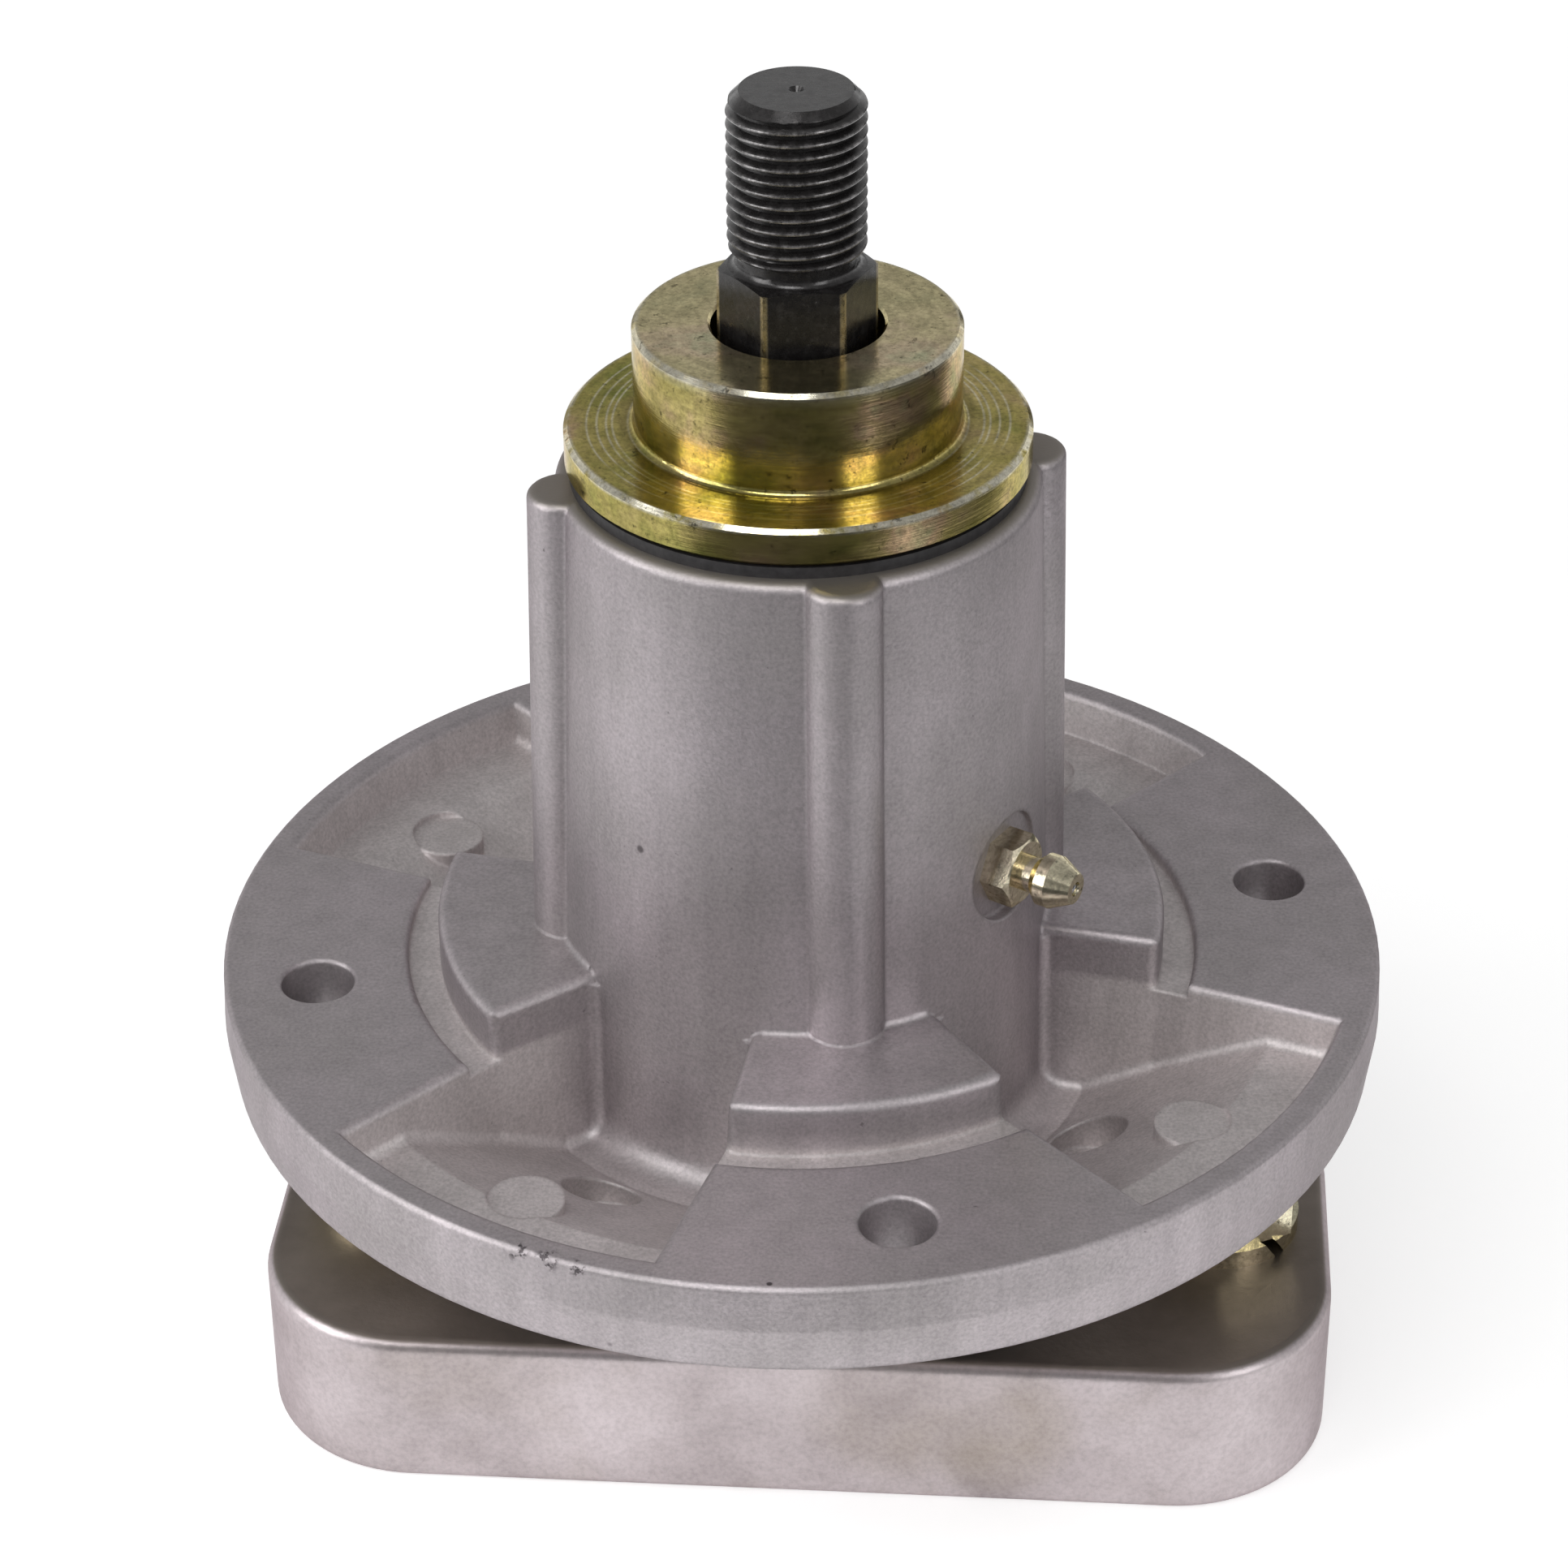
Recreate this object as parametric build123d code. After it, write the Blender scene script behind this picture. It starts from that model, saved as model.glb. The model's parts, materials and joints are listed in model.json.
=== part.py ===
from build123d import *
import math
import os

# Mower deck spindle. A die-cast housing bolts under the mower deck with its tube standing up
# through the deck. A greased shaft turns in it on two sealed ball bearings, with the drive
# pulley's seat, hex and thread at the top and the blade carrier at the bottom.
# The origin is on the shaft's axis at the deck face of the flange, and +Z is up the shaft.

# Clearances of the fits, and how far a cut reaches past the face that it cuts
press_clearance = 0.01
slip_clearance = 0.05
running_clearance = 0.1
cut_overlap = 1.0

# Ball bearings, 20 x 47 x 14; balls and shoulders are shares of the section and of the ball
bearing_bore_radius = 10.0
bearing_outer_radius = 23.5
bearing_width = 14.0
ball_count = 8
ball_share = 0.294
shoulder_share = 0.668
seal_seat_step = 1.1
seal_thickness = 1.2
seal_inset = 0.3
seal_lip_clearance = 0.1
race_groove_clearance = 0.1
cage_pocket_clearance = 0.15
cage_race_clearance = 0.9
cage_seal_clearance = 0.28
cage_horn_height = 1.8
upper_bearing_inset = 5.0
lower_bearing_inset = 5.5
bearing_stop_width = 2.5
race_chamfer = 0.6
seal_bead_width = 1.2
seal_dish = 0.25

# Housing flange, which carries the deck
flange_radius = 71.7
flange_thickness = 11.7
parting_drop = 5.9
parting_flash = 0.25
rim_width = 3.5
rim_wall_draft = 1.6
rim_edge_chamfer = 0.5
deck_hole_edge_distance = 11.375
deck_hole_radius = 4.5
deck_hole_chamfer = 0.3
pattern_angle = 14.4
pad_count = 4

# Pilot sectors, the relief groove at their foot and the four pads
pilot_radius = 45.0
pilot_height = 5.3
relief_width = 3.9
relief_depth = 1.6
relief_edge_radius = 0.8
narrow_pad_half_angle = 21.3
wide_pad_half_angle = 24.4
pad_flare_angle = 3.2
pad_wall_draft = 3.0
edge_radius = 1.2

# Pockets between the pads
ledge_drop = 5.6
ledge_width = 12.3
valley_width = 6.2
valley_drop = 17.3
valley_fillet = 3.5
pocket_fillet = 1.5
fillet_depth = 0.5
upper_boss_radius = 4.6
upper_boss_edge_distance = 15.1
upper_boss_drop = 6.4
lower_recess_radius = 4.8
lower_recess_offset = 5.8
lower_recess_drop = 19.6

# Tube and its four ribs
tube_height = 65.0
tube_wall = 5.0
tube_taper = 1.8
tube_edge_radius = 1.5
tube_foot_fillet = 0.8
rib_top_radius = 4.5
rib_foot_radius = 4.9
rib_top_inset = 1.0
rib_foot_inset = 1.8
rib_edge_radius = 1.05

# Lower hub of the housing, under the flange
hub_drop = 33.5
hub_wall = 7.0
hub_wall_shoulder = 24.0
dish_outer_width = 9.7
dish_inner_width = 16.5
hub_edge_radius = 1.5

# Retaining ring under the lower bearing
ring_thickness = 1.75
ring_groove_depth = 1.3
ring_width = 4.2
ring_gap_angle = 34.0
ring_ear_radius = 2.6
ring_ear_hole_radius = 1.2
ring_ear_angle = 5.0
ring_ear_inset = 0.6

# Rubber dust seal on top of the tube
dust_seal_setback = 0.2
dust_seal_lip_gap = 0.3
dust_seal_wall = 2.9
dust_seal_web = 1.4
dust_seal_inner_lip_length = 2.4

# Shaft
shaft_radius = 10.0
shaft_hex_across_flats = 16.0
shaft_hex_facet_angle = -80.9
shaft_hex_chamfer_angle = 15.0
hex_above_spacer = 7.1
hex_below_spacer_top = 10.0
neck_radius = 6.9
neck_length = 2.3
neck_fillet = 1.0
thread_radius = 8.0
thread_length = 19.0
thread_foot_chamfer = 0.5
shaft_end_chamfer = 1.5
centre_hole_radius = 0.9
centre_hole_depth = 1.2
hex_shoulder_chamfer = 0.5

# Flanged spacer that carries the pulley
spacer_gap = 1.7
spacer_flange_setback = 1.2
spacer_flange_thickness = 4.6
spacer_boss_radius = 19.1
spacer_boss_height = 12.6
spacer_edge_chamfer = 0.5
spacer_bore_chamfer = 0.3
spacer_boss_fillet = 0.8
inner_race_setback = 0.7

# Tube between the two inner races
race_spacer_setback = 0.9

# Dust shield between housing and blade carrier
shield_gap = 1.3
shield_thickness = 1.2
shield_overhang = 3.0
shield_skirt = 3.0
shield_bend_radius = 1.0

# Blade carrier
carrier_length = 136.0
carrier_width = 64.0
carrier_thickness = 21.9
carrier_corner_radius = 20.0
carrier_edge_radius = 1.7
carrier_collar_radius = 18.0
carrier_collar_height = 6.7
carrier_collar_fillet = 1.5
carrier_bolt_recess_radius = 14.0
carrier_bolt_recess_depth = 10.4

# Bolt heads: the flat top as a share of the width over the flats, and the slope of their turned corners
head_top_share = 0.95
head_chamfer_angle = 30.0
bolt_end_chamfer = 1.0
washer_clearance = 0.4

# Centre bolt that holds the carrier on the shaft
centre_bolt_radius = 5.0
centre_bolt_length = 30.0
centre_hole_spare = 3.0
centre_bolt_across_flats = 17.0
centre_bolt_head_height = 6.4
centre_washer_radius = 13.0
centre_washer_thickness = 2.5
shaft_end_gap = 0.8

# Key between shaft and carrier
key_width = 6.0
key_height = 6.0
key_depth_in_shaft = 3.5
key_length = 10.0
key_above_shaft_end = 1.5

# Blade bolts parked in the carrier's tapped holes, with spring lock washers
blade_bolt_spacing = 107.0
blade_bolt_radius = 6.0
blade_bolt_length = 20.0
blade_bolt_across_flats = 19.0
left_bolt_facet_angle = -80.0
right_bolt_facet_angle = -61.5
blade_bolt_head_height = 7.5
lock_washer_radius = 10.5
lock_washer_thickness = 2.5
lock_washer_split = 1.4
lock_washer_split_angle = -45.0
lock_washer_split_slant = 35.0
blade_hole_chamfer = 1.0

# Grease fitting on the tube
fitting_angle = -29.6
fitting_height = 20.0
fitting_seat_depth = 1.8
fitting_spot_radius = 6.8
fitting_thread_radius = 3.0
fitting_thread_length = 5.0
fitting_hex_across_flats = 8.0
fitting_hex_height = 3.6
fitting_neck_radius = 2.2
fitting_neck_length = 1.7
fitting_head_radius = 3.25
fitting_head_length = 5.2
fitting_tip_radius = 1.9
fitting_end_chamfer = 0.4
fitting_bore_radius = 1.4
fitting_mouth_radius = 0.9
fitting_mouth_lip = 0.5
fitting_passage_radius = 0.7
check_ball_radius = 1.2
check_ball_clearance = 0.05
check_spring_coil_radius = 0.95
check_spring_wire_radius = 0.16
check_spring_length = 3.6
check_spring_turns = 4
check_ball_travel = 0.5

# Bearing radii worked out from the sizes above
ball_radius = ball_share * (bearing_outer_radius - bearing_bore_radius)
ball_pitch_radius = (bearing_outer_radius + bearing_bore_radius) / 2
inner_shoulder_radius = ball_pitch_radius - shoulder_share * ball_radius
outer_shoulder_radius = ball_pitch_radius + shoulder_share * ball_radius
seal_seat_radius = outer_shoulder_radius + seal_seat_step
bore_radius = bearing_outer_radius + press_clearance
cavity_radius = bearing_outer_radius - bearing_stop_width
ring_groove_radius = bearing_outer_radius + ring_groove_depth

# Housing radii worked out from the bearing and the flange
tube_top_radius = bearing_outer_radius + tube_wall
tube_foot_radius = tube_top_radius + tube_taper
hub_radius = bearing_outer_radius + hub_wall
rib_top_circle = tube_top_radius - rib_top_inset
rib_foot_circle = tube_foot_radius - rib_foot_inset
valley_radius = tube_foot_radius + valley_width
lower_recess_circle = valley_radius + lower_recess_offset
rim_inner_radius = flange_radius - rim_width
ledge_inner_radius = flange_radius - ledge_width
upper_boss_circle = flange_radius - upper_boss_edge_distance
deck_hole_circle = flange_radius - deck_hole_edge_distance
dish_outer_radius = flange_radius - dish_outer_width
dish_inner_radius = hub_radius + dish_inner_width
relief_outer_radius = pilot_radius + relief_width
fitting_seat_distance = tube_foot_radius - fitting_seat_depth
pad_pitch = 360 / pad_count

# Rotor radii worked out from the bearing and the housing
spacer_foot_radius = inner_shoulder_radius - inner_race_setback
carrier_nose_radius = inner_shoulder_radius - inner_race_setback
race_spacer_radius = inner_shoulder_radius - race_spacer_setback
spacer_flange_radius = tube_top_radius - spacer_flange_setback
dust_seal_lip_radius = tube_top_radius - tube_edge_radius - dust_seal_setback
shield_radius = hub_radius + shield_overhang

# Heights worked out from the sizes above, measured from the deck face
hub_bottom = -hub_drop
upper_bearing_top = tube_height - upper_bearing_inset
upper_bearing_bottom = upper_bearing_top - bearing_width
lower_bearing_bottom = hub_bottom + lower_bearing_inset
lower_bearing_top = lower_bearing_bottom + bearing_width
ring_groove_bottom = lower_bearing_bottom - ring_thickness - running_clearance
pocket_cut_start = pilot_height + cut_overlap
spacer_bottom = tube_height + spacer_gap
spacer_flange_top = spacer_bottom + spacer_flange_thickness
spacer_top = spacer_flange_top + spacer_boss_height
hex_bottom = spacer_top - hex_below_spacer_top
hex_top = spacer_top + hex_above_spacer
thread_bottom = hex_top + neck_length
shaft_top = thread_bottom + thread_length
shield_top = hub_bottom - shield_gap
shield_bottom = shield_top - shield_thickness
carrier_top = shield_bottom - carrier_collar_height
carrier_bottom = carrier_top - carrier_thickness
recess_top = carrier_bottom + carrier_bolt_recess_depth
shaft_bottom = recess_top + shaft_end_gap


def fitting_plane():
    """Plane of the grease fitting's seat, its Z pointing out along the fitting."""
    seat = polar(fitting_seat_distance, fitting_angle, fitting_height)
    return Plane(origin=seat, x_dir=(0, 0, 1), z_dir=polar(1, fitting_angle))


def turned(points):
    """Solid of revolution about the shaft's axis from (radius, height) corners."""
    outline = Polyline(*points, close=True)
    return revolve(Plane.XZ * make_face(outline), Axis.Z)


def tube(inner, outer, bottom, top):
    """Plain ring between two heights."""
    return turned([(inner, bottom), (outer, bottom), (outer, top), (inner, top)])


def rod(radius, bottom, top, chamfer_top=0.0, chamfer_bottom=0.0):
    """Plain round bar between two heights, with optional chamfered ends."""
    points = [(0, bottom), (radius - chamfer_bottom, bottom)]
    if chamfer_bottom:
        points.append((radius, bottom + chamfer_bottom))
    if chamfer_top:
        points.append((radius, top - chamfer_top))
    points += [(radius - chamfer_top, top), (0, top)]
    return turned(points)


def hex_head(across_flats, height, facet_angle=0.0, top_share=head_top_share, slope=head_chamfer_angle):
    """Hexagon standing on the XY plane, one facet facing an angle, the corners of its top turned off."""
    corner_radius = across_flats / math.sqrt(3)
    top_radius = across_flats / 2 * top_share
    drop = (corner_radius - top_radius) * math.tan(math.radians(slope))
    outline = RegularPolygon(corner_radius, 6, rotation=facet_angle + 30)
    envelope = turned([
        (0, 0),
        (corner_radius, 0),
        (corner_radius, height - drop),
        (top_radius, height),
        (0, height),
    ])
    return extrude(outline, height) & envelope


def polar(radius, angle, height=0.0):
    """Point at a radius and an angle in degrees about the shaft's axis."""
    turn = math.radians(angle)
    return Vector(radius * math.cos(turn), radius * math.sin(turn), height)


def tube_radius_at(height):
    """Outer radius of the drafted tube at a height above the deck face."""
    slope = (tube_foot_radius - tube_top_radius) / (tube_height - pilot_height)
    return tube_top_radius + slope * (tube_height - height)


def floor_height_at(radius):
    """Height of the pockets' sloping floor at a radius."""
    slope = (valley_drop - ledge_drop) / (ledge_inner_radius - valley_radius)
    return -ledge_drop - slope * (ledge_inner_radius - radius)


def circle_edges(part, radius, height):
    """Round edges of a turned part with this radius at this height."""
    return part.edges().filter_by(GeomType.CIRCLE).filter_by(
        lambda edge: abs(edge.radius - radius) < 0.01 and abs(edge.center().Z - height) < 0.01)


def housing_turned_body():
    """Housing before its pockets: tube, pilot, deck face, rim, dished underside, hub and bores."""
    outer = [
        (bore_radius, tube_height),
        (tube_top_radius, tube_height),
        (tube_radius_at(pilot_height), pilot_height),
        (pilot_radius, pilot_height),
        (pilot_radius, -relief_depth),
        (relief_outer_radius, -relief_depth),
        (relief_outer_radius, 0),
        (flange_radius - rim_edge_chamfer, 0),
        (flange_radius, -rim_edge_chamfer),
        (flange_radius + parting_flash, -parting_drop),
        (flange_radius - rim_edge_chamfer, -flange_thickness),
        (dish_outer_radius, -flange_thickness),
        (dish_inner_radius, -hub_wall_shoulder),
        (hub_radius, -hub_wall_shoulder),
        (hub_radius, hub_bottom),
        (bore_radius, hub_bottom),
    ]
    bore = [
        (bore_radius, ring_groove_bottom),
        (ring_groove_radius, ring_groove_bottom),
        (ring_groove_radius, lower_bearing_bottom),
        (bore_radius, lower_bearing_bottom),
        (bore_radius, lower_bearing_top),
        (cavity_radius, lower_bearing_top),
        (cavity_radius, upper_bearing_bottom),
        (bore_radius, upper_bearing_bottom),
    ]
    body = turned(outer + bore)
    body = fillet(circle_edges(body, tube_top_radius, tube_height), tube_edge_radius)
    body = fillet(circle_edges(body, tube_radius_at(pilot_height), pilot_height), tube_foot_fillet)
    body = fillet(circle_edges(body, pilot_radius, pilot_height), edge_radius)
    body = fillet(circle_edges(body, relief_outer_radius, 0), relief_edge_radius)
    body = fillet(circle_edges(body, hub_radius, hub_bottom), hub_edge_radius)
    return body


def rib(angle):
    """One drafted round rib on the tube, cut off flat with the tube's top."""
    foot = Pos(rib_foot_circle, 0, 0) * Circle(rib_foot_radius)
    top = Pos(rib_top_circle, 0, tube_height) * Circle(rib_top_radius)
    body = loft([foot, top])
    top_edge = body.edges().sort_by(Axis.Z)[-1]
    return Rot(0, 0, angle) * fillet(top_edge, rib_edge_radius)


def pocket_ring():
    """The space of all the pockets, as if there were no pads between them."""
    points = [
        (tube_radius_at(pocket_cut_start), pocket_cut_start),
        (tube_radius_at(-valley_drop), -valley_drop),
        (valley_radius, -valley_drop),
        (ledge_inner_radius, -ledge_drop),
        (rim_inner_radius - rim_wall_draft, -ledge_drop),
        (rim_inner_radius, 0),
        (rim_inner_radius, pocket_cut_start),
    ]
    ring = turned(points)
    return fillet(circle_edges(ring, tube_radius_at(-valley_drop), -valley_drop), valley_fillet)


def pocket_angles(index):
    """Angles of the two walls of one pocket, inside the pilot's radius."""
    half_angles = (wide_pad_half_angle, narrow_pad_half_angle)
    start = pattern_angle + pad_pitch * index + half_angles[index % 2]
    stop = pattern_angle + pad_pitch * (index + 1) - half_angles[(index + 1) % 2]
    return start, stop


def pocket_walls(index):
    """The four flat walls of one pocket, each as its bend at the pilot's radius and its inward normal."""
    walls = []
    for angle, side in zip(pocket_angles(index), (1, -1)):
        bend = polar(pilot_radius, angle, pocket_cut_start)
        flared = polar(flange_radius, angle + side * pad_flare_angle, pocket_cut_start) - bend
        for along in (polar(1, angle), flared.normalized()):
            walls.append((bend, along.rotate(Axis.Z, 90 * side)))
    return walls


def wall_space(bend, inward):
    """Everything on the pocket's side of one wall, which leans back by the draft."""
    lean = math.radians(pad_wall_draft)
    normal = inward * math.cos(lean) + Vector(0, 0, math.sin(lean))
    face = Plane(origin=bend, x_dir=inward.rotate(Axis.Z, 90), z_dir=normal)
    reach = 4 * flange_radius
    return face * Box(reach, reach, reach, align=(Align.CENTER, Align.CENTER, Align.MIN))


def lip_corners(lean):
    """Foot, middle and top of the rounding over a wall that leans back, from the wall's sharp top edge."""
    centre = edge_radius * (1 - math.sin(lean)) / math.cos(lean)
    middle = (math.pi / 2 + lean) / 2
    return [(centre - edge_radius * math.cos(turn), edge_radius * math.sin(turn) - edge_radius)
            for turn in (lean, middle, math.pi / 2)]


def lip_section(lean, reach):
    """Section of the space over a wall's rounded top edge, with the pocket on its left."""
    foot, middle, top = lip_corners(lean)
    outline = Polyline(top, (top[0], cut_overlap), (-reach, cut_overlap), (-reach, foot[1]), foot)
    return make_face(outline + ThreePointArc(foot, middle, top))


def wall_lip(bend, inward, height):
    """The space over the rounded top edge of one wall, at the height of the pad or pilot that it ends at."""
    lean = math.radians(pad_wall_draft)
    drop = pocket_cut_start - height
    edge = bend + inward * (drop * math.tan(lean)) - Vector(0, 0, drop)
    across = Plane(origin=edge, x_dir=-inward, z_dir=inward.rotate(Axis.Z, 90))
    return extrude(across * lip_section(lean, 4 * flange_radius), 2 * flange_radius, both=True)


def rim_lip():
    """The space over the rounded inner edge of the rim and over the pads' edges."""
    lean = math.atan2(rim_wall_draft, ledge_drop)
    section = Pos(rim_inner_radius, 0) * lip_section(lean, rim_inner_radius - pilot_radius)
    return revolve(Plane.XZ * section, Axis.Z)


def pilot_lip():
    """The space over the rounded side edges of the pilot sectors, from the tube outwards."""
    low = pilot_height - edge_radius
    return turned([
        (tube_radius_at(low), low),
        (pilot_radius + cut_overlap, low),
        (pilot_radius + cut_overlap, pocket_cut_start),
        (tube_radius_at(pocket_cut_start), pocket_cut_start),
    ])


def pilot_corner(angle, side):
    """What the rounding takes off the upright corner of a pilot sector beside a pocket's wall."""
    lean = math.radians(pad_wall_draft)
    centre_distance = pilot_radius - edge_radius
    offset_angle = math.degrees(math.asin(edge_radius / centre_distance))
    centre = polar(centre_distance, angle - side * offset_angle, pocket_cut_start)
    inward = polar(1, angle + 90 * side)
    outward = polar(1, angle - side * offset_angle)
    reach = 2 * edge_radius
    square = Polyline(
        centre,
        centre + inward * reach,
        centre + inward * reach + outward * reach,
        centre + outward * reach,
        close=True,
    )
    section = make_face(square) - Pos(centre) * Circle(edge_radius)
    down = inward * math.sin(lean) - Vector(0, 0, math.cos(lean))
    return extrude(section, (pocket_cut_start + relief_depth) / math.cos(lean), dir=down)


def pocket(index):
    """One pocket of the flange, with its floor rounded into its walls."""
    space = pocket_ring()
    for bend, inward in pocket_walls(index):
        space &= wall_space(bend, inward)
    floor_edges = space.edges().filter_by(
        lambda edge: edge.bounding_box().max.Z < -fillet_depth and edge.geom_type != GeomType.CIRCLE)
    return fillet(floor_edges, pocket_fillet)


def pocket_lips(index):
    """The roundings over the top edges of one pocket, at the deck face and on the pilot."""
    deck_lip = rim_lip()
    side_lip = pilot_lip()
    for bend, inward in pocket_walls(index):
        deck_lip &= wall_lip(bend, inward, 0)
        side_lip &= wall_lip(bend, inward, pilot_height)
    return deck_lip + side_lip


def pocket_middle(index):
    """Turns a detail drawn on the X axis to the middle of a pocket."""
    return Rot(0, 0, pattern_angle + pad_pitch * (index + 0.5))


def standing_cylinder(radius, bottom, top):
    """Cylinder on the Z axis between two heights."""
    return Pos(0, 0, bottom) * Cylinder(radius, top - bottom, align=(Align.CENTER, Align.CENTER, Align.MIN))


def spindle_housing():
    """Die-cast housing with its pads, pockets, ejector marks, ribs and bores."""
    body = housing_turned_body()
    for index in range(pad_count):
        body += rib(pattern_angle + pad_pitch * index)
    body -= standing_cylinder(bore_radius, upper_bearing_bottom, tube_height)
    boss_root = floor_height_at(upper_boss_circle - upper_boss_radius) - cut_overlap
    for index in range(pad_count):
        middle = pocket_middle(index)
        upper = middle * Pos(upper_boss_circle, 0, 0)
        lower = middle * Pos(lower_recess_circle, 0, 0)
        body -= pocket(index)
        body -= pocket_lips(index)
        for angle, side in zip(pocket_angles(index), (1, -1)):
            body -= pilot_corner(angle, side)
        body += upper * standing_cylinder(upper_boss_radius, boss_root, -upper_boss_drop)
        body -= upper * standing_cylinder(upper_boss_radius, -upper_boss_drop, 0)
        body -= lower * standing_cylinder(lower_recess_radius, -lower_recess_drop, -ledge_drop)
    for index in range(pad_count):
        hole = Pos(polar(deck_hole_circle, pattern_angle + pad_pitch * index))
        body -= hole * deck_hole()
    seat = fitting_plane()
    body -= seat * standing_cylinder(fitting_spot_radius, 0, tube_foot_radius)
    fitting_hole_radius = fitting_thread_radius + press_clearance
    body -= seat * standing_cylinder(fitting_hole_radius, -tube_foot_radius / 2, cut_overlap)
    return body


def deck_hole():
    """Through hole for a deck bolt, its upper edge chamfered."""
    mouth = deck_hole_radius + deck_hole_chamfer
    return turned([
        (0, -flange_thickness - cut_overlap),
        (deck_hole_radius, -flange_thickness - cut_overlap),
        (deck_hole_radius, -deck_hole_chamfer),
        (mouth, 0),
        (mouth, cut_overlap),
        (0, cut_overlap),
    ])


def outer_race(bottom):
    """Outer ring of a ball bearing with its groove and the seats of its two seals."""
    top = bottom + bearing_width
    seat = seal_inset + seal_thickness
    ring = turned([
        (seal_seat_radius, bottom),
        (bearing_outer_radius - race_chamfer, bottom),
        (bearing_outer_radius, bottom + race_chamfer),
        (bearing_outer_radius, top - race_chamfer),
        (bearing_outer_radius - race_chamfer, top),
        (seal_seat_radius, top),
        (seal_seat_radius, top - seat),
        (outer_shoulder_radius, top - seat),
        (outer_shoulder_radius, bottom + seat),
        (seal_seat_radius, bottom + seat),
    ])
    return ring - ball_groove(bottom)


def inner_race(bottom):
    """Inner ring of a ball bearing with its groove."""
    top = bottom + bearing_width
    bore = bearing_bore_radius + press_clearance
    ring = turned([
        (bore + race_chamfer, bottom),
        (inner_shoulder_radius, bottom),
        (inner_shoulder_radius, top),
        (bore + race_chamfer, top),
        (bore, top - race_chamfer),
        (bore, bottom + race_chamfer),
    ])
    return ring - ball_groove(bottom)


def ball_groove(bottom):
    """The ring-shaped space that the balls of a bearing roll in."""
    middle = bottom + bearing_width / 2
    return Pos(0, 0, middle) * Torus(ball_pitch_radius, ball_radius + race_groove_clearance)


def bearing_seal(bottom):
    """Rubber seal washer, standing proud at its outer bead and at its inner lip."""
    top = bottom + seal_thickness
    lip = inner_shoulder_radius + seal_lip_clearance
    bead = seal_seat_radius - press_clearance
    return turned([
        (lip, bottom),
        (bead, bottom),
        (bead, top),
        (bead - seal_bead_width, top),
        (bead - seal_bead_width, top - seal_dish),
        (lip + seal_bead_width, top - seal_dish),
        (lip + seal_bead_width, top),
        (lip, top),
    ])


def bearing_cage(bottom):
    """Snap-in crown cage, closed below the balls and open above them."""
    middle = bottom + bearing_width / 2
    pocket_radius = ball_radius + cage_pocket_clearance
    crown = tube(
        inner_shoulder_radius + cage_race_clearance,
        outer_shoulder_radius - cage_race_clearance,
        bottom + seal_inset + seal_thickness + cage_seal_clearance,
        middle + cage_horn_height,
    )
    for location in PolarLocations(ball_pitch_radius, ball_count):
        crown -= Pos(0, 0, middle) * location * Sphere(pocket_radius)
    return crown


def bearing_balls(bottom):
    """The balls of one bearing."""
    middle = bottom + bearing_width / 2
    return Compound([Pos(0, 0, middle) * location * Sphere(ball_radius)
                     for location in PolarLocations(ball_pitch_radius, ball_count)])


def bearing_retaining_ring():
    """Internal snap ring in its groove under the lower bearing, with two pierced ears."""
    top = lower_bearing_bottom
    bottom = top - ring_thickness
    outside = ring_groove_radius - running_clearance
    inside = outside - ring_width
    gap_width = 2 * inside * math.sin(math.radians(ring_gap_angle / 2))
    ring = tube(inside, outside, bottom, top)
    ring -= Pos(0, -outside, top) * Box(gap_width, 2 * ring_width + ring_ear_radius, bearing_width)
    for side in (-1, 1):
        ear = Pos(polar(inside + ring_ear_inset, side * (ring_gap_angle / 2 + ring_ear_angle) - 90))
        ring += ear * standing_cylinder(ring_ear_radius, bottom, top)
        ring -= ear * standing_cylinder(ring_ear_hole_radius, bottom - cut_overlap, top + cut_overlap)
    return ring


def top_dust_seal():
    """Rubber cap seal pressed into the tube, its rim lying on the tube's end and its lip on the spacer."""
    top = spacer_bottom - dust_seal_lip_gap
    lip = spacer_foot_radius + seal_lip_clearance
    outside = bore_radius - press_clearance
    return turned([
        (outside, upper_bearing_top),
        (outside, tube_height),
        (dust_seal_lip_radius, tube_height),
        (dust_seal_lip_radius, top),
        (lip, top),
        (lip, top - dust_seal_inner_lip_length),
        (lip + dust_seal_web, top - dust_seal_inner_lip_length),
        (lip + dust_seal_web, top - dust_seal_web),
        (outside - dust_seal_wall, top - dust_seal_web),
        (outside - dust_seal_wall, upper_bearing_top),
    ])


def spindle_shaft():
    """Turned shaft with its hexagon, neck, threaded end, keyway and tapped lower end."""
    hex_length = hex_top - hex_bottom
    hexagon = hex_head(shaft_hex_across_flats, hex_length, shaft_hex_facet_angle, 1, shaft_hex_chamfer_angle)
    neck = Pos(0, 0, hex_bottom) * hexagon + rod(neck_radius, hex_bottom, thread_bottom)
    neck = fillet(circle_edges(neck, neck_radius, hex_top), neck_fillet)
    body = rod(shaft_radius, shaft_bottom, hex_bottom, hex_shoulder_chamfer, hex_shoulder_chamfer) + neck
    body += rod(thread_radius, thread_bottom, shaft_top, shaft_end_chamfer, thread_foot_chamfer)
    body -= turned([(0, shaft_top), (centre_hole_radius, shaft_top), (0, shaft_top - centre_hole_depth)])
    tapped_depth = centre_bolt_length - centre_washer_thickness + centre_hole_spare
    body -= standing_cylinder(centre_bolt_radius + slip_clearance, shaft_bottom, shaft_bottom + tapped_depth)
    body -= key_block(press_clearance)
    return body


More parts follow.
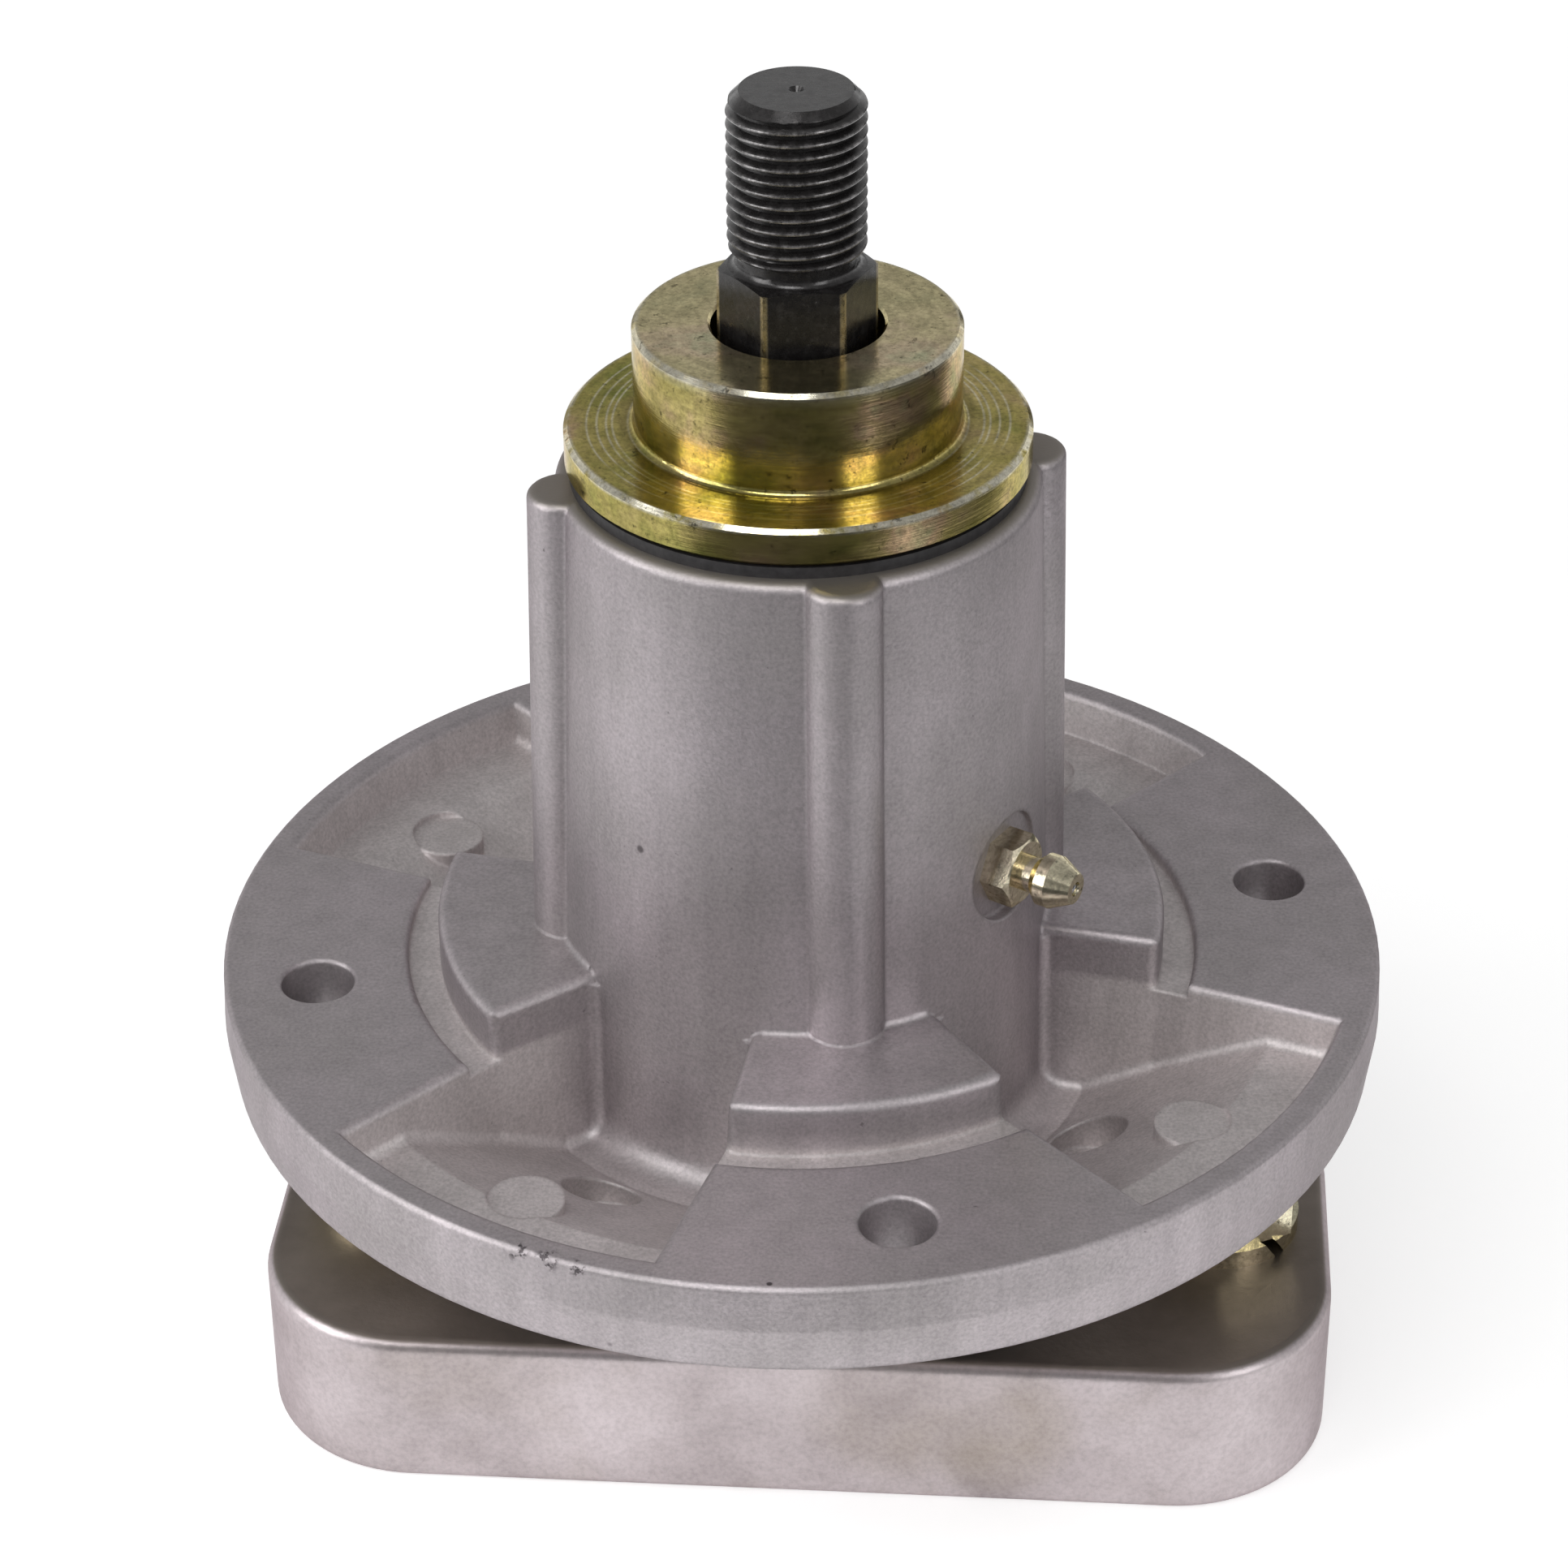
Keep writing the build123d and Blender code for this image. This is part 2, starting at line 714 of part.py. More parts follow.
def key_block(spare):
    """Key between shaft and carrier, or the space that it needs with some spare beside it."""
    foot = shaft_radius - key_depth_in_shaft
    middle = shaft_bottom + key_above_shaft_end + key_length / 2
    block = Box(key_width + 2 * spare, key_height, key_length + 2 * spare)
    return Pos(0, foot + key_height / 2, middle) * block


def shaft_key():
    """Square key between shaft and carrier."""
    return key_block(0)


def pulley_spacer():
    """Plated flanged spacer, its foot on the upper inner race and its boss inside the pulley."""
    bore = shaft_radius + slip_clearance
    body = turned([
        (bore, upper_bearing_top),
        (spacer_foot_radius, upper_bearing_top),
        (spacer_foot_radius, spacer_bottom),
        (spacer_flange_radius - spacer_edge_chamfer, spacer_bottom),
        (spacer_flange_radius, spacer_bottom + spacer_edge_chamfer),
        (spacer_flange_radius, spacer_flange_top - spacer_edge_chamfer),
        (spacer_flange_radius - spacer_edge_chamfer, spacer_flange_top),
        (spacer_boss_radius, spacer_flange_top),
        (spacer_boss_radius, spacer_top - spacer_edge_chamfer),
        (spacer_boss_radius - spacer_edge_chamfer, spacer_top),
        (bore + spacer_bore_chamfer, spacer_top),
        (bore, spacer_top - spacer_bore_chamfer),
    ])
    return fillet(circle_edges(body, spacer_boss_radius, spacer_flange_top), spacer_boss_fillet)


def race_spacer_tube():
    """Tube that holds the two inner races apart."""
    return tube(shaft_radius + slip_clearance, race_spacer_radius, lower_bearing_top, upper_bearing_bottom)


def dust_shield():
    """Pressed sheet cup that turns with the carrier and covers the lower hub's end."""
    inside = carrier_nose_radius + press_clearance
    cup = turned([
        (inside, shield_bottom),
        (shield_radius, shield_bottom),
        (shield_radius, shield_bottom + shield_skirt),
        (shield_radius - shield_thickness, shield_bottom + shield_skirt),
        (shield_radius - shield_thickness, shield_top),
        (inside, shield_top),
    ])
    return fillet(circle_edges(cup, shield_radius, shield_bottom), shield_bend_radius)


def blade_carrier():
    """Steel blade carrier block with its collar, nose, bore, keyway and three bolt holes."""
    outline = RectangleRounded(carrier_length, carrier_width, carrier_corner_radius)
    block = Pos(0, 0, carrier_bottom) * extrude(outline, carrier_thickness)
    rims = block.edges().group_by(Axis.Z)[-1] + block.edges().group_by(Axis.Z)[0]
    block = fillet(rims, carrier_edge_radius)
    block += standing_cylinder(carrier_collar_radius, carrier_top, shield_bottom)
    block = fillet(circle_edges(block, carrier_collar_radius, carrier_top), carrier_collar_fillet)
    block += standing_cylinder(carrier_nose_radius, shield_bottom, lower_bearing_bottom)
    block -= standing_cylinder(shaft_radius + slip_clearance, carrier_bottom, lower_bearing_bottom)
    block -= standing_cylinder(carrier_bolt_recess_radius, carrier_bottom, recess_top)
    slot_bottom = recess_top
    slot_top = shaft_bottom + key_above_shaft_end + key_length + running_clearance
    slot_height = shaft_radius - key_depth_in_shaft + key_height + running_clearance
    slot = Box(key_width + 2 * press_clearance, slot_height, slot_top - slot_bottom)
    block -= Pos(0, slot_height / 2, (slot_top + slot_bottom) / 2) * slot
    for side in (-1, 1):
        block -= Pos(side * blade_bolt_spacing / 2, 0, 0) * blade_bolt_hole()
    return block


def blade_bolt_hole():
    """Tapped through hole for a blade bolt, countersunk at both ends."""
    hole = blade_bolt_radius + slip_clearance
    mouth = hole + blade_hole_chamfer
    return turned([
        (0, carrier_bottom),
        (mouth, carrier_bottom),
        (hole, carrier_bottom + blade_hole_chamfer),
        (hole, carrier_top - blade_hole_chamfer),
        (mouth, carrier_top),
        (0, carrier_top),
    ])


def carrier_bolt():
    """Centre bolt, screwed up into the shaft's lower end."""
    head_top = recess_top - centre_washer_thickness
    head = Rot(180, 0, 0) * hex_head(centre_bolt_across_flats, centre_bolt_head_height)
    return Pos(0, 0, head_top) * (head + rod(centre_bolt_radius, 0, centre_bolt_length, bolt_end_chamfer))


def carrier_bolt_washer():
    """Thick washer of the centre bolt."""
    inside = centre_bolt_radius + washer_clearance
    return tube(inside, centre_washer_radius, recess_top - centre_washer_thickness, recess_top)


def blade_bolt(facet_angle):
    """One blade bolt standing on its lock washer, pointing down."""
    seat = carrier_top + lock_washer_thickness
    head = Pos(0, 0, seat) * hex_head(blade_bolt_across_flats, blade_bolt_head_height, facet_angle)
    return head + rod(blade_bolt_radius, seat - blade_bolt_length, seat, 0, bolt_end_chamfer)


def blade_bolts():
    """The two blade bolts, parked in the carrier's tapped holes."""
    half = blade_bolt_spacing / 2
    left = Pos(-half, 0, 0) * blade_bolt(left_bolt_facet_angle)
    right = Pos(half, 0, 0) * blade_bolt(right_bolt_facet_angle)
    return Compound([left, right])


def lock_washer():
    """Spring lock washer pressed flat, with its slanting split."""
    top = carrier_top + lock_washer_thickness
    ring = tube(blade_bolt_radius + washer_clearance, lock_washer_radius, carrier_top, top)
    slot = Box(lock_washer_radius, lock_washer_split, 2 * lock_washer_thickness)
    middle = Pos(lock_washer_radius, 0, carrier_top + lock_washer_thickness / 2)
    return ring - Rot(0, 0, lock_washer_split_angle) * middle * Rot(lock_washer_split_slant, 0, 0) * slot


def blade_bolt_washers():
    """The two lock washers under the blade bolts' heads."""
    half = blade_bolt_spacing / 2
    return Compound([Pos(side * half, 0, 0) * lock_washer() for side in (-1, 1)])


def grease_fitting_body():
    """Grease fitting with its screwed end, hexagon, neck and hollow head."""
    head_bottom = fitting_hex_height + fitting_neck_length
    top = head_bottom + fitting_head_length
    spring_room = check_spring_bottom() - check_ball_travel - check_ball_clearance
    hexagon = hex_head(fitting_hex_across_flats, fitting_hex_height)
    stem = turned([
        (0, -fitting_thread_length),
        (fitting_thread_radius - fitting_end_chamfer, -fitting_thread_length),
        (fitting_thread_radius, -fitting_thread_length + fitting_end_chamfer),
        (fitting_thread_radius, 0),
        (fitting_neck_radius, 0),
        (fitting_neck_radius, head_bottom),
        (fitting_head_radius, head_bottom + fitting_head_radius - fitting_neck_radius),
        (fitting_head_radius, top - 2 * (fitting_head_radius - fitting_tip_radius)),
        (fitting_tip_radius, top),
        (0, top),
    ])
    passage = standing_cylinder(fitting_passage_radius, -fitting_thread_length, top)
    bore = standing_cylinder(fitting_bore_radius, spring_room, top - fitting_mouth_lip)
    mouth = standing_cylinder(fitting_mouth_radius, top - 2 * fitting_mouth_lip, top)
    return fitting_plane() * (hexagon + stem - passage - bore - mouth)


def check_ball_height():
    """Distance of the check ball's centre from the fitting's seat when it closes the mouth."""
    top = fitting_hex_height + fitting_neck_length + fitting_head_length
    drop = math.sqrt(check_ball_radius ** 2 - fitting_mouth_radius ** 2)
    return top - fitting_mouth_lip - drop - check_ball_clearance


def check_spring_top():
    """Height of the spring's upper end, where its coil meets the check ball."""
    reach = check_ball_radius + check_spring_wire_radius
    return check_ball_height() - math.sqrt(reach ** 2 - check_spring_coil_radius ** 2)


def check_spring_bottom():
    """Height of the spring's lower face."""
    return check_spring_top() - check_spring_length - check_spring_wire_radius


def grease_fitting_ball():
    """Steel ball that closes the grease fitting."""
    return fitting_plane() * Pos(0, 0, check_ball_height()) * Sphere(check_ball_radius)


def grease_fitting_spring():
    """Small coil spring behind the check ball."""
    pitch = check_spring_length / check_spring_turns
    path = Helix(pitch, check_spring_length, check_spring_coil_radius)
    wire = Plane(path @ 0, z_dir=path % 0) * Circle(check_spring_wire_radius)
    coil = sweep(wire, path, is_frenet=True)
    return fitting_plane() * Pos(0, 0, check_spring_bottom() + check_spring_wire_radius) * coil


def all_nodes():
    """Every piece of the spindle with its name."""
    upper = upper_bearing_bottom
    lower = lower_bearing_bottom
    seal_low = seal_inset
    seal_high = bearing_width - seal_inset - seal_thickness
    return {
        "spindle_housing": spindle_housing(),
        "upper_outer_race": outer_race(upper),
        "lower_outer_race": outer_race(lower),
        "upper_inner_race": inner_race(upper),
        "lower_inner_race": inner_race(lower),
        "upper_bearing_top_seal": bearing_seal(upper + seal_high),
        "upper_bearing_bottom_seal": bearing_seal(upper + seal_low),
        "lower_bearing_top_seal": bearing_seal(lower + seal_high),
        "lower_bearing_bottom_seal": bearing_seal(lower + seal_low),
        "upper_bearing_cage": bearing_cage(upper),
        "lower_bearing_cage": bearing_cage(lower),
        "upper_bearing_balls": bearing_balls(upper),
        "lower_bearing_balls": bearing_balls(lower),
        "bearing_retaining_ring": bearing_retaining_ring(),
        "top_dust_seal": top_dust_seal(),
        "spindle_shaft": spindle_shaft(),
        "shaft_key": shaft_key(),
        "pulley_spacer": pulley_spacer(),
        "race_spacer_tube": race_spacer_tube(),
        "dust_shield": dust_shield(),
        "blade_carrier": blade_carrier(),
        "carrier_bolt": carrier_bolt(),
        "carrier_bolt_washer": carrier_bolt_washer(),
        "blade_bolts": blade_bolts(),
        "blade_bolt_washers": blade_bolt_washers(),
        "grease_fitting_body": grease_fitting_body(),
        "grease_fitting_ball": grease_fitting_ball(),
        "grease_fitting_spring": grease_fitting_spring(),
    }


os.makedirs("parts", exist_ok=True)
for node_name, node_shape in all_nodes().items():
    export_step(node_shape, f"parts/{node_name}.step")
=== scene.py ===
import json
import math

import bmesh
import bpy
from mathutils import Matrix, Vector


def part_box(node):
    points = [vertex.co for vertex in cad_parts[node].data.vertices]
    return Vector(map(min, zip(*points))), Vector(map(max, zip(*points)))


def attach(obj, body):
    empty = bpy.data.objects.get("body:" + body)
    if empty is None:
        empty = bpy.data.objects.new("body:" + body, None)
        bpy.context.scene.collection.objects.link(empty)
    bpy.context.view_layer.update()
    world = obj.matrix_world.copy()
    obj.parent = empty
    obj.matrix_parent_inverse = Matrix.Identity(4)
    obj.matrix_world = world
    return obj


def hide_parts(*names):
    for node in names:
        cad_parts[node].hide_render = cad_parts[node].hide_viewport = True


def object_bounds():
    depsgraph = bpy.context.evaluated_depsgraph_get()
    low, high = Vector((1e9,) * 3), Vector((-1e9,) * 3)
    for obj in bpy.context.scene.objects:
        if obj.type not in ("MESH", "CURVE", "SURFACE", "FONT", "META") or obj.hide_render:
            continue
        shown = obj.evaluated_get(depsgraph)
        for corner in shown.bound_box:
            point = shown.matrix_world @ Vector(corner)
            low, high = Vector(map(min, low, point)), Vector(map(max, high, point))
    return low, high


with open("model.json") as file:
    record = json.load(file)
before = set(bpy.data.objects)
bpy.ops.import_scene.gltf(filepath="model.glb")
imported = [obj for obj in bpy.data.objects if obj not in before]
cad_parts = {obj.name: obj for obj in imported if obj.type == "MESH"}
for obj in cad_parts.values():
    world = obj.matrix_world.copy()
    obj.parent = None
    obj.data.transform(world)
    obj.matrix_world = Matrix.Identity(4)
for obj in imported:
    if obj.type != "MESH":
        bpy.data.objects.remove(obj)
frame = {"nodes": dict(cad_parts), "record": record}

# The photograph's frame and camera, in pixels, degrees and metres
PHOTO_WIDTH = 1932
FOCAL_PIXELS = 5310.0
SENSOR_WIDTH_MM = 36.0
CAMERA_AZIMUTH = 4.4
CAMERA_ELEVATION = 31.918
CAMERA_ROLL = -0.471
CAMERA_DISTANCE = 0.5265
CAMERA_TARGET = Vector((-0.00199, -0.00015, 0.02139))

# Sizes in metres that the shaft's threaded end is drawn with, and how finely
THREAD_PITCH = 0.0015
THREAD_DEPTH = 0.00085
THREAD_RADIUS = 0.008
THREAD_LENGTH = 0.019
THREAD_END_CHAMFER = 0.0015
THREAD_FOOT_CHAMFER = 0.0005
THREAD_RUN_OUT = 0.001
THREAD_STEPS_PER_TURN = 96
THREAD_ROWS_PER_PITCH = 10

# Half the thread's flat root and its flank, as shares of half a pitch
THREAD_ROOT_SHARE = 0.2
THREAD_FLANK_SHARE = 0.65

# How near two places count as one, in metres, and the angle from which an edge is sharp, in degrees
SAME_HEIGHT = 0.00001
SAME_RADIUS = 0.0001
SAME_POINT = 0.000002
SHARP_ANGLE = 28

# Deck holes' places, in degrees and metres
HOLE_ANGLE = 14.4
HOLE_CIRCLE_RADIUS = 0.060325

# Places that the materials paint, in millimetres: heights, radii, and points with the reach of each mark
SHADED_TOP_HEIGHT = 64.5
SPACER_BOSS_EDGE = (83.9, 19.1)
SPACER_FLANGE_EDGE = (71.3, 27.3)
SPACER_FILLET_RADIUS = 20.1
SPACER_RING_RADII = (19.8, 21.6, 22.3, 23.4, 24.6)
CENTRE_MARK = (0.0, 0.0, 112.3)
CENTRE_MARK_RADIUS = 1.5
RIM_CHIPS = (((-27.5, -66.3, -0.2), 2.4), ((-24.0, -67.6, -0.2), 2.4), ((-20.5, -68.8, -0.3), 2.0))
CARRIER_STAINS = (((14.0, -32.0, -47.0), 17.0), ((26.0, -32.0, -52.0), 13.0))

# Single nicks of the casting: place, reach, where the mark begins as a share of its reach, and its strength
NICKS = (
    ((-17.0, -69.9, -10.7), 1.2, 0.4, 1.0),
    ((1.35, -70.6, 0.0), 0.6, 0.3, 0.9),
    ((-17.0, -24.1, 26.8), 0.9, 0.3, 0.7),
)

# Soft lamps, which look at the origin: name, place and size in metres, power in watts
LAMPS = (
    ("left_softbox", (-0.86, -0.40, 0.42), (0.65, 0.75), 5.0),
    ("right_softbox", (0.72, -0.66, 0.42), (0.35, 0.60), 2.2),
    ("front_softbox", (-0.12, -0.50, 0.72), (0.45, 0.35), 2.4),
)

# Floor, its pool of light and the dark cards on it, in metres from the shaft's axis
FLOOR_REACH = 12.0
POOL_MIDDLE = 0.25
POOL_HALF_LENGTH = 0.5
POOL_HALF_WIDTH = 0.22
CARD_FRONT = 0.17
CARD_RIGHT = 0.24
CARD_LIFT = 0.0005

# Glow of the floor around the object, and the sweep's brightness by height and towards the camera
FLOOR_GLOW = 0.5
SWEEP = ((0.46, 0.1), (0.48, 1.0), (0.55, 0.9), (0.68, 0.45), (0.85, 0.30), (1.0, 0.32))
SWEEP_FRONT = ((0.45, 1.0), (0.75, 0.4))


class Graph:
    """Short ways to build one procedural node tree."""

    def __init__(self, tree, material=None):
        self.tree = tree
        self.material = material
        self.shader = tree.nodes.get("Principled BSDF")
        self.coordinates = self.add("ShaderNodeTexCoord").outputs
        self.place = self.coordinates["Object"]

    @classmethod
    def of_material(cls, name):
        material = bpy.data.materials.new(name)
        material.use_nodes = True
        return cls(material.node_tree, material)

    def add(self, kind, **settings):
        node = self.tree.nodes.new(kind)
        for key, value in settings.items():
            setattr(node, key, value)
        return node

    def plug(self, value, socket):
        """Links an output to a socket, or sets the socket to a plain value."""
        if isinstance(value, bpy.types.NodeSocket):
            self.tree.links.new(value, socket)
        else:
            socket.default_value = value

    def rounded(self, radius):
        """Normal of the surface with its sharp edges rounded; the radius is in metres."""
        node = self.add("ShaderNodeBevel", samples=4)
        node.inputs["Radius"].default_value = radius
        return node.outputs["Normal"]

    def maths(self, operation, first, second=0.0, third=0.0, clamp=False):
        node = self.add("ShaderNodeMath", operation=operation, use_clamp=clamp)
        self.plug(first, node.inputs[0])
        self.plug(second, node.inputs[1])
        self.plug(third, node.inputs[2])
        return node.outputs[0]

    def noise(self, scale, detail=2.0, roughness=0.5, place=None):
        node = self.add("ShaderNodeTexNoise")
        self.plug(place or self.place, node.inputs["Vector"])
        self.plug(scale, node.inputs["Scale"])
        self.plug(detail, node.inputs["Detail"])
        self.plug(roughness, node.inputs["Roughness"])
        return node.outputs["Fac"]

    def ramp(self, value, *stops):
        """Colour or value ramp from (position, colour) stops."""
        node = self.add("ShaderNodeValToRGB")
        elements = node.color_ramp.elements
        elements[0].position, elements[1].position = stops[0][0], stops[-1][0]
        for position, _ in stops[1:-1]:
            elements.new(position)
        for element, (_, colour) in zip(elements, stops):
            element.color = grey(colour) if isinstance(colour, (int, float)) else (*colour, 1.0)
        self.plug(value, node.inputs["Fac"])
        return node.outputs["Color"]

    def length_ramp(self, length, longest, *stops):
        """Ramp over a length; the longest length and the stops' positions are in millimetres."""
        share = self.maths("MULTIPLY", length, 1000.0 / longest)
        return self.ramp(share, *((position / longest, colour) for position, colour in stops))

    def mix(self, factor, first, second, blend="MIX"):
        node = self.add("ShaderNodeMix", data_type="RGBA", blend_type=blend)
        self.plug(factor, node.inputs["Factor"])
        self.plug(with_alpha(first), node.inputs["A"])
        self.plug(with_alpha(second), node.inputs["B"])
        return node.outputs["Result"]

    def split(self, vector):
        node = self.add("ShaderNodeSeparateXYZ")
        self.plug(vector, node.inputs[0])
        return node.outputs["X"], node.outputs["Y"], node.outputs["Z"]

    def join(self, x, y, z):
        node = self.add("ShaderNodeCombineXYZ")
        for value, socket in zip((x, y, z), node.inputs):
            self.plug(value, socket)
        return node.outputs[0]

    def diagonal(self, first, second):
        """Square root of the sum of two squares."""
        first_square = self.maths("MULTIPLY", first, first)
        second_square = self.maths("MULTIPLY", second, second)
        return self.maths("SQRT", self.maths("ADD", first_square, second_square))

    def radius(self):
        """Distance from the shaft's axis, in metres."""
        x, y, _ = self.split(self.place)
        return self.diagonal(x, y)

    def height(self):
        """Height over the deck face, in metres."""
        return self.split(self.place)[2]

    def turning_place(self, along=1.0):
        """Coordinates that make noise run round the shaft's axis as lathe marks do."""
        x, y, z = self.split(self.place)
        angle = self.maths("ARCTAN2", y, x)
        return self.join(self.radius(), z, self.maths("MULTIPLY", angle, 0.001 * along))

    def stretched(self, across, upright):
        """Coordinates that draw noise out along the shaft's axis."""
        x, y, z = self.split(self.place)
        pairs = ((x, across), (y, across), (z, upright))
        return self.join(*(self.maths("MULTIPLY", value, by) for value, by in pairs))

    def fading(self, length, reach):
        """1 at no length, falling to 0 at a reach, given in millimetres."""
        share = self.maths("DIVIDE", length, reach / 1000)
        return self.maths("SUBTRACT", 1.0, share, clamp=True)

    def spot(self, place, reach):
        """1 at a place, given in millimetres, falling to 0 at a reach from it."""
        apart = self.add("ShaderNodeVectorMath", operation="DISTANCE")
        self.plug(self.place, apart.inputs[0])
        self.plug(tuple(value / 1000 for value in place), apart.inputs[1])
        return self.fading(apart.outputs["Value"], reach)

    def circle_line(self, radius, width):
        """1 on a circle round the shaft's axis, falling to 0 at a width from it; both in millimetres."""
        off = self.maths("ABSOLUTE", self.maths("SUBTRACT", self.radius(), radius / 1000))
        return self.fading(off, width)

    def most(self, *values):
        """Largest of several values."""
        largest = values[0]
        for value in values[1:]:
            largest = self.maths("MAXIMUM", largest, value)
        return largest

    def edge_band(self, height, radius):
        """1 on a turned edge at a height and a radius, in millimetres, falling to 0 at 0.9 mm from it."""
        rise = self.maths("SUBTRACT", self.height(), height / 1000)
        out = self.maths("SUBTRACT", self.radius(), radius / 1000)
        return self.length_ramp(self.diagonal(rise, out), 1, (0.45, 1.0), (0.9, 0.0))

    def turned_gloss(self, amount):
        """Highlights drawn out across the lathe marks that run round the shaft's axis."""
        tangent = self.add("ShaderNodeTangent", direction_type="RADIAL", axis="Z")
        self.shader.inputs["Anisotropic"].default_value = amount
        self.shader.inputs["Anisotropic Rotation"].default_value = 0.25
        self.plug(tangent.outputs["Tangent"], self.shader.inputs["Tangent"])

    def bump(self, height, strength, distance, after=None):
        node = self.add("ShaderNodeBump")
        self.plug(height, node.inputs["Height"])
        self.plug(strength, node.inputs["Strength"])
        self.plug(distance, node.inputs["Distance"])
        if after:
            self.plug(after, node.inputs["Normal"])
        return node.outputs["Normal"]

    def finish(self, colour, roughness, normal=None, metallic=1.0):
        self.plug(with_alpha(colour), self.shader.inputs["Base Color"])
        self.plug(roughness, self.shader.inputs["Roughness"])
        self.plug(metallic, self.shader.inputs["Metallic"])
        if normal:
            self.plug(normal, self.shader.inputs["Normal"])
        return self.material


def grey(value):
    """Opaque grey."""
    return (value, value, value, 1.0)


def with_alpha(colour):
    """A plain colour with its alpha, or a socket as it is."""
    if isinstance(colour, tuple) and len(colour) == 3:
        return (*colour, 1.0)
    return colour


def die_cast_aluminium():
    """As-cast aluminium: fine grain and dark pits, rougher down in the flange's pockets and painted paler
    there as painted light, and its top faces painted darker as painted shade under the spacer.
    """
    g = Graph.of_material("die_cast_aluminium")
    mottle = g.noise(45, 5, 0.6)
    grain = g.noise(2200, 2, 0.6)
    speck = g.noise(950, 3, 0.7)
    flow = g.noise(260, 3, 0.6, g.stretched(1.0, 0.12))
    pockets = in_pockets(g)
    colour = g.ramp(mottle, (0.3, (0.42, 0.39, 0.395)), (0.7, (0.50, 0.455, 0.475)))
    # Painted light: down in the pockets the metal is painted paler, for the light that the pockets catch
    pale = g.ramp(mottle, (0.3, (0.60, 0.56, 0.555)), (0.7, (0.70, 0.655, 0.655)))
    colour = g.mix(pockets, colour, pale)
    colour = g.mix(1.0, colour, g.ramp(grain, (0.3, 0.86), (0.5, 1.0), (0.72, 1.14)), "MULTIPLY")
    colour = g.mix(1.0, colour, g.ramp(flow, (0.3, 0.92), (0.65, 1.04)), "MULTIPLY")
    colour = g.mix(1.0, colour, g.ramp(speck, (0.22, 0.5), (0.31, 1.0)), "MULTIPLY")
    # Painted shade: the top faces of the tube and ribs are painted darker, for the shade under the spacer's
    # flange
    shaded_top = g.length_ramp(g.height(), 100, (SHADED_TOP_HEIGHT - 0.2, 0.0), (SHADED_TOP_HEIGHT + 0.3, 1.0))
    colour = g.mix(shaded_top, colour, (0.30, 0.275, 0.25))
    colour = g.mix(chips(g), colour, (0.06, 0.05, 0.055))
    roughness = g.mix(pockets, g.ramp(mottle, (0.3, 0.5), (0.7, 0.38)), grey(0.55))
    normal = g.bump(grain, 0.3, 0.0001, g.rounded(0.0007))
    normal = g.bump(g.noise(380, 3, 0.6), 0.25, 0.0002, normal)
    g.shader.inputs["Specular Tint"].default_value = (0.45, 0.42, 0.43, 1.0)
    return g.finish(colour, roughness, normal, 0.8)


def chips(g):
    """1 in the small dark chips and nicks of the flange and the tube."""
    edge = g.most(*(g.spot(place, reach) for place, reach in RIM_CHIPS))
    broken = g.ramp(g.noise(620, 4, 0.7), (0.52, 0.0), (0.57, 0.85))
    edge = g.maths("MULTIPLY", g.ramp(edge, (0.25, 0.0), (0.6, 1.0)), broken)
    nicks = []
    for place, reach, start, strength in NICKS:
        nicks.append(g.ramp(g.spot(place, reach), (start, 0.0), (0.6, strength)))
    return g.most(edge, *nicks)


def in_pockets(g):
    """1 down inside the flange's casting pockets, 0 elsewhere."""
    depth = g.maths("MULTIPLY", g.height(), -1.0)
    below = g.length_ramp(depth, 10, (0.3, 0.0), (1.2, 1.0))
    inside = g.length_ramp(g.radius(), 100, (30, 0.0), (38, 1.0), (68.5, 1.0), (69.5, 0.0))
    off_holes = g.length_ramp(hole_distance(g), 10, (5.0, 0.0), (5.6, 1.0))
    return g.maths("MULTIPLY", g.maths("MULTIPLY", below, inside), off_holes)


def hole_distance(g):
    """Distance from the axis of the nearest deck hole, in metres."""
    x, y, _ = g.split(g.place)
    cosine, sine = math.cos(math.radians(HOLE_ANGLE)), math.sin(math.radians(HOLE_ANGLE))
    forward = g.maths("ADD", g.maths("MULTIPLY", x, cosine), g.maths("MULTIPLY", y, sine))
    aside = g.maths("SUBTRACT", g.maths("MULTIPLY", y, cosine), g.maths("MULTIPLY", x, sine))
    forward = g.maths("ABSOLUTE", forward)
    aside = g.maths("ABSOLUTE", aside)
    along = g.maths("SUBTRACT", g.maths("MAXIMUM", forward, aside), HOLE_CIRCLE_RADIUS)
    return g.diagonal(along, g.maths("MINIMUM", forward, aside))


